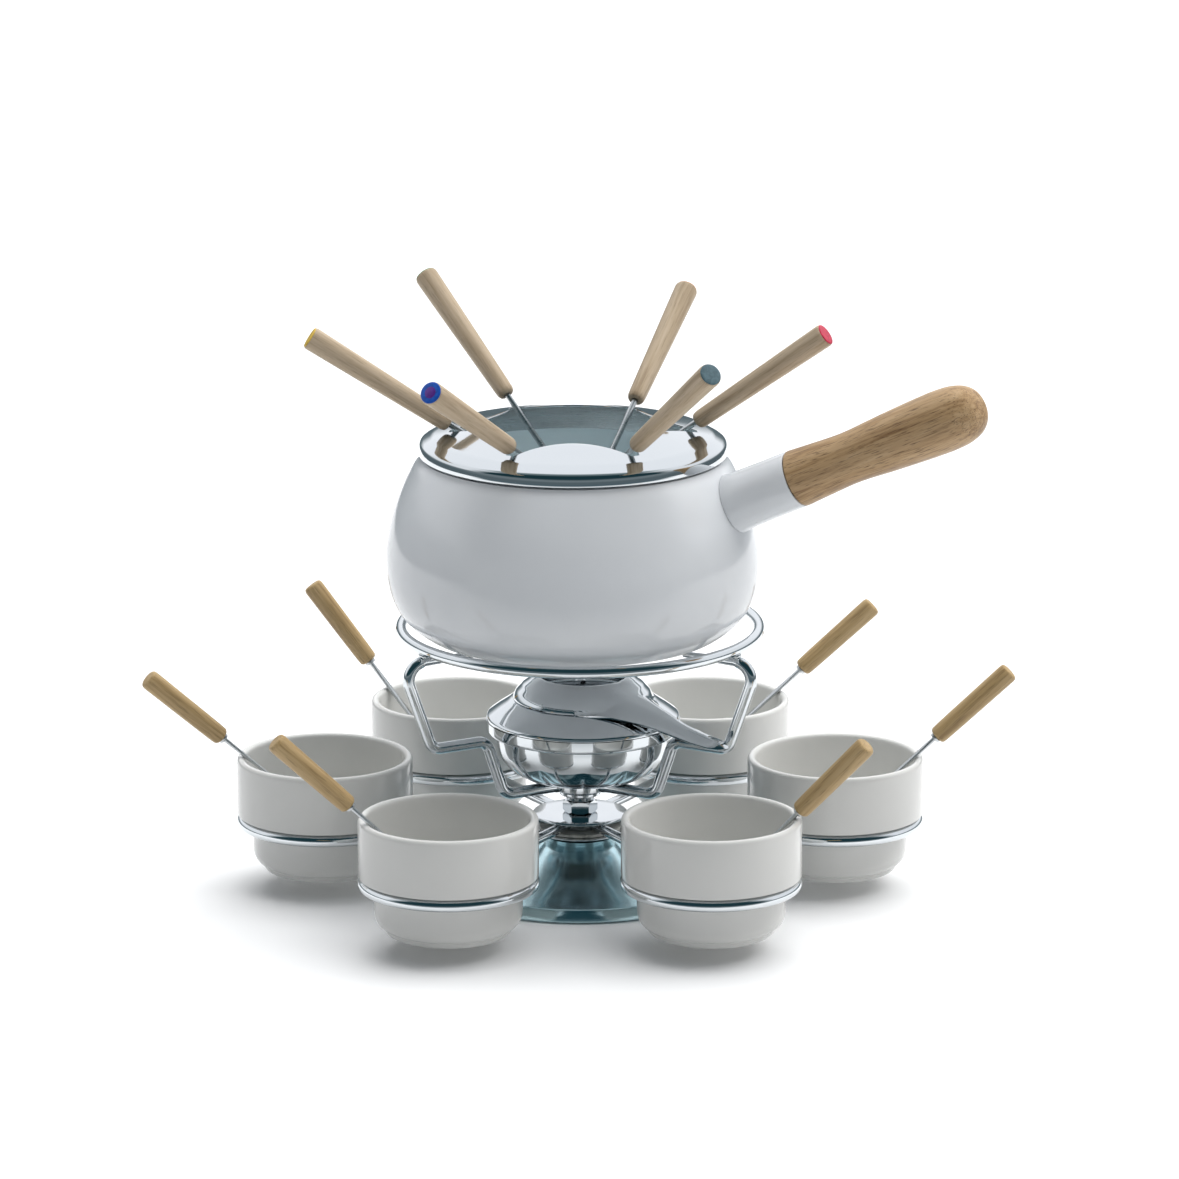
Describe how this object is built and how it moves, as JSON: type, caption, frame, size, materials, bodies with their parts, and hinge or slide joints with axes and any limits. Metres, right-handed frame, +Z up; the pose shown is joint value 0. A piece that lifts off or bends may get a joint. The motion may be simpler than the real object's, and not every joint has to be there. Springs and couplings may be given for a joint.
{
  "type": "fondue set",
  "caption": "Fondue set: enamelled pot with fork guard and forks on a pedestal stand with a burner, above a turning carousel of sauce bowls.",
  "frame": {"origin": "pedestal axis at the underside of the foot pad, on the table", "axes": "+Z up along the carousel's axis; -Y is the front; the pot handle points to +X and a little forward"},
  "size_m": [0.4441, 0.317, 0.3007],
  "materials": {
    "polished_chrome": "bright spun and polished plate",
    "chrome_wire": "bright chromed round wire",
    "satin_steel": "satin stainless steel",
    "ballast_iron": "rough as cast",
    "foot_foam": "matt black rubber",
    "bearing_nylon": "natural nylon",
    "white_porcelain": "warm white glaze",
    "white_enamel": "glossy white vitreous enamel on steel",
    "pale_beech": "pale oiled beech",
    "oak_handle": "oiled oak with open grain"
  },
  "bodies": {
    "stand": {"foot_pad": "foot_foam", "base_shell": "polished_chrome", "base_ballast": "ballast_iron", "tie_bolt": "satin_steel", "bearing_dish": "polished_chrome", "bearing_washer": "bearing_nylon", "clamp_nut": "polished_chrome", "spacer_collar": "polished_chrome", "leg_boss": "polished_chrome", "leg_back": "chrome_wire", "leg_left": "chrome_wire", "leg_right": "chrome_wire", "pot_ring": "chrome_wire"},
    "carousel": {"carousel_hub": "chrome_wire", "bowl_ring_1": "chrome_wire", "bowl_ring_2": "chrome_wire", "bowl_ring_3": "chrome_wire", "bowl_ring_4": "chrome_wire", "bowl_ring_5": "chrome_wire", "bowl_ring_6": "chrome_wire"},
    "bowl_1": {"sauce_bowl_1": "white_porcelain"},
    "bowl_2": {"sauce_bowl_2": "white_porcelain"},
    "bowl_3": {"sauce_bowl_3": "white_porcelain"},
    "bowl_4": {"sauce_bowl_4": "white_porcelain"},
    "bowl_5": {"sauce_bowl_5": "white_porcelain"},
    "bowl_6": {"sauce_bowl_6": "white_porcelain"},
    "spreader_1": {"spreader_blade_1": "satin_steel", "spreader_handle_1": "pale_beech"},
    "spreader_2": {"spreader_blade_2": "satin_steel", "spreader_handle_2": "pale_beech"},
    "spreader_3": {"spreader_blade_3": "satin_steel", "spreader_handle_3": "pale_beech"},
    "spreader_4": {"spreader_blade_4": "satin_steel", "spreader_handle_4": "pale_beech"},
    "spreader_5": {"spreader_blade_5": "satin_steel", "spreader_handle_5": "pale_beech"},
    "spreader_6": {"spreader_blade_6": "satin_steel", "spreader_handle_6": "pale_beech"},
    "burner": {"burner_bowl": "polished_chrome", "fuel_cup": "satin_steel", "fuel_gauze": "satin_steel", "burner_cover": "polished_chrome"},
    "regulator": {"regulator": "polished_chrome"},
    "pot": {"pot_body": "white_enamel", "handle_socket": "white_enamel", "pot_handle": "oak_handle", "handle_rod": "satin_steel"},
    "guard": {"splash_guard": "polished_chrome"},
    "fork_1": {"fork_shaft_1": "satin_steel", "fork_handle_1": "pale_beech"},
    "fork_2": {"fork_shaft_2": "satin_steel", "fork_handle_2": "pale_beech"},
    "fork_3": {"fork_shaft_3": "satin_steel", "fork_handle_3": "pale_beech"},
    "fork_4": {"fork_shaft_4": "satin_steel", "fork_handle_4": "pale_beech"},
    "fork_5": {"fork_shaft_5": "satin_steel", "fork_handle_5": "pale_beech"},
    "fork_6": {"fork_shaft_6": "satin_steel", "fork_handle_6": "pale_beech"}
  },
  "joints": [
    {"name": "carousel_turn", "type": "hinge", "parent": "stand", "child": "carousel", "pos_m": [0, 0, 0.034], "axis": [0, 0, 1], "continuous": true},
    {"name": "bowl_1_lift", "type": "slide", "parent": "carousel", "child": "bowl_1", "axis": [0, 0, 1], "range_m": [0, 0.06]},
    {"name": "bowl_2_lift", "type": "slide", "parent": "carousel", "child": "bowl_2", "axis": [0, 0, 1], "range_m": [0, 0.06]},
    {"name": "bowl_3_lift", "type": "slide", "parent": "carousel", "child": "bowl_3", "axis": [0, 0, 1], "range_m": [0, 0.06]},
    {"name": "bowl_4_lift", "type": "slide", "parent": "carousel", "child": "bowl_4", "axis": [0, 0, 1], "range_m": [0, 0.06]},
    {"name": "bowl_5_lift", "type": "slide", "parent": "carousel", "child": "bowl_5", "axis": [0, 0, 1], "range_m": [0, 0.06]},
    {"name": "bowl_6_lift", "type": "slide", "parent": "carousel", "child": "bowl_6", "axis": [0, 0, 1], "range_m": [0, 0.06]},
    {"name": "spreader_1_pull", "type": "slide", "parent": "bowl_1", "child": "spreader_1", "axis": [0.7312, 0.0128, 0.682], "range_m": [0, 0.05]},
    {"name": "spreader_2_pull", "type": "slide", "parent": "bowl_2", "child": "spreader_2", "axis": [0.7403, 0.0648, 0.6691], "range_m": [0, 0.05]},
    {"name": "spreader_3_pull", "type": "slide", "parent": "bowl_3", "child": "spreader_3", "axis": [-0.5995, 0.1057, 0.7934], "range_m": [0, 0.05]},
    {"name": "spreader_4_pull", "type": "slide", "parent": "bowl_4", "child": "spreader_4", "axis": [-0.7298, -0.1685, 0.6626], "range_m": [0, 0.05]},
    {"name": "spreader_5_pull", "type": "slide", "parent": "bowl_5", "child": "spreader_5", "axis": [-0.7132, -0.1322, 0.6884], "range_m": [0, 0.05]},
    {"name": "spreader_6_pull", "type": "slide", "parent": "bowl_6", "child": "spreader_6", "axis": [0.6409, -0.2333, 0.7314], "range_m": [0, 0.05]},
    {"name": "burner_lift", "type": "slide", "parent": "stand", "child": "burner", "axis": [0, 0, 1], "range_m": [0, 0.018]},
    {"name": "regulator_turn", "type": "hinge", "parent": "burner", "child": "regulator", "pos_m": [0.0015, 0, 0.0987], "axis": [0, 0, 1], "range_deg": [-75, 0]},
    {"name": "pot_lift", "type": "slide", "parent": "stand", "child": "pot", "axis": [0, 0, 1], "range_m": [0, 0.08]},
    {"name": "guard_lift", "type": "slide", "parent": "pot", "child": "guard", "axis": [0, 0, 1], "range_m": [0, 0.08]},
    {"name": "fork_1_pull", "type": "slide", "parent": "guard", "child": "fork_1", "axis": [0.7682, -0.2437, 0.592], "range_m": [0, 0.022]},
    {"name": "fork_2_pull", "type": "slide", "parent": "guard", "child": "fork_2", "axis": [0.3265, 0.7766, 0.5388], "range_m": [0, 0.022]},
    {"name": "fork_3_pull", "type": "slide", "parent": "guard", "child": "fork_3", "axis": [-0.5125, 0.5813, 0.632], "range_m": [0, 0.022]},
    {"name": "fork_4_pull", "type": "slide", "parent": "guard", "child": "fork_4", "axis": [-0.8379, -0.0351, 0.5446], "range_m": [0, 0.022]},
    {"name": "fork_5_pull", "type": "slide", "parent": "guard", "child": "fork_5", "axis": [-0.4555, -0.7376, 0.4985], "range_m": [0, 0.022]},
    {"name": "fork_6_pull", "type": "slide", "parent": "guard", "child": "fork_6", "axis": [0.4311, -0.6846, 0.5878], "range_m": [0, 0.022]}
  ]
}
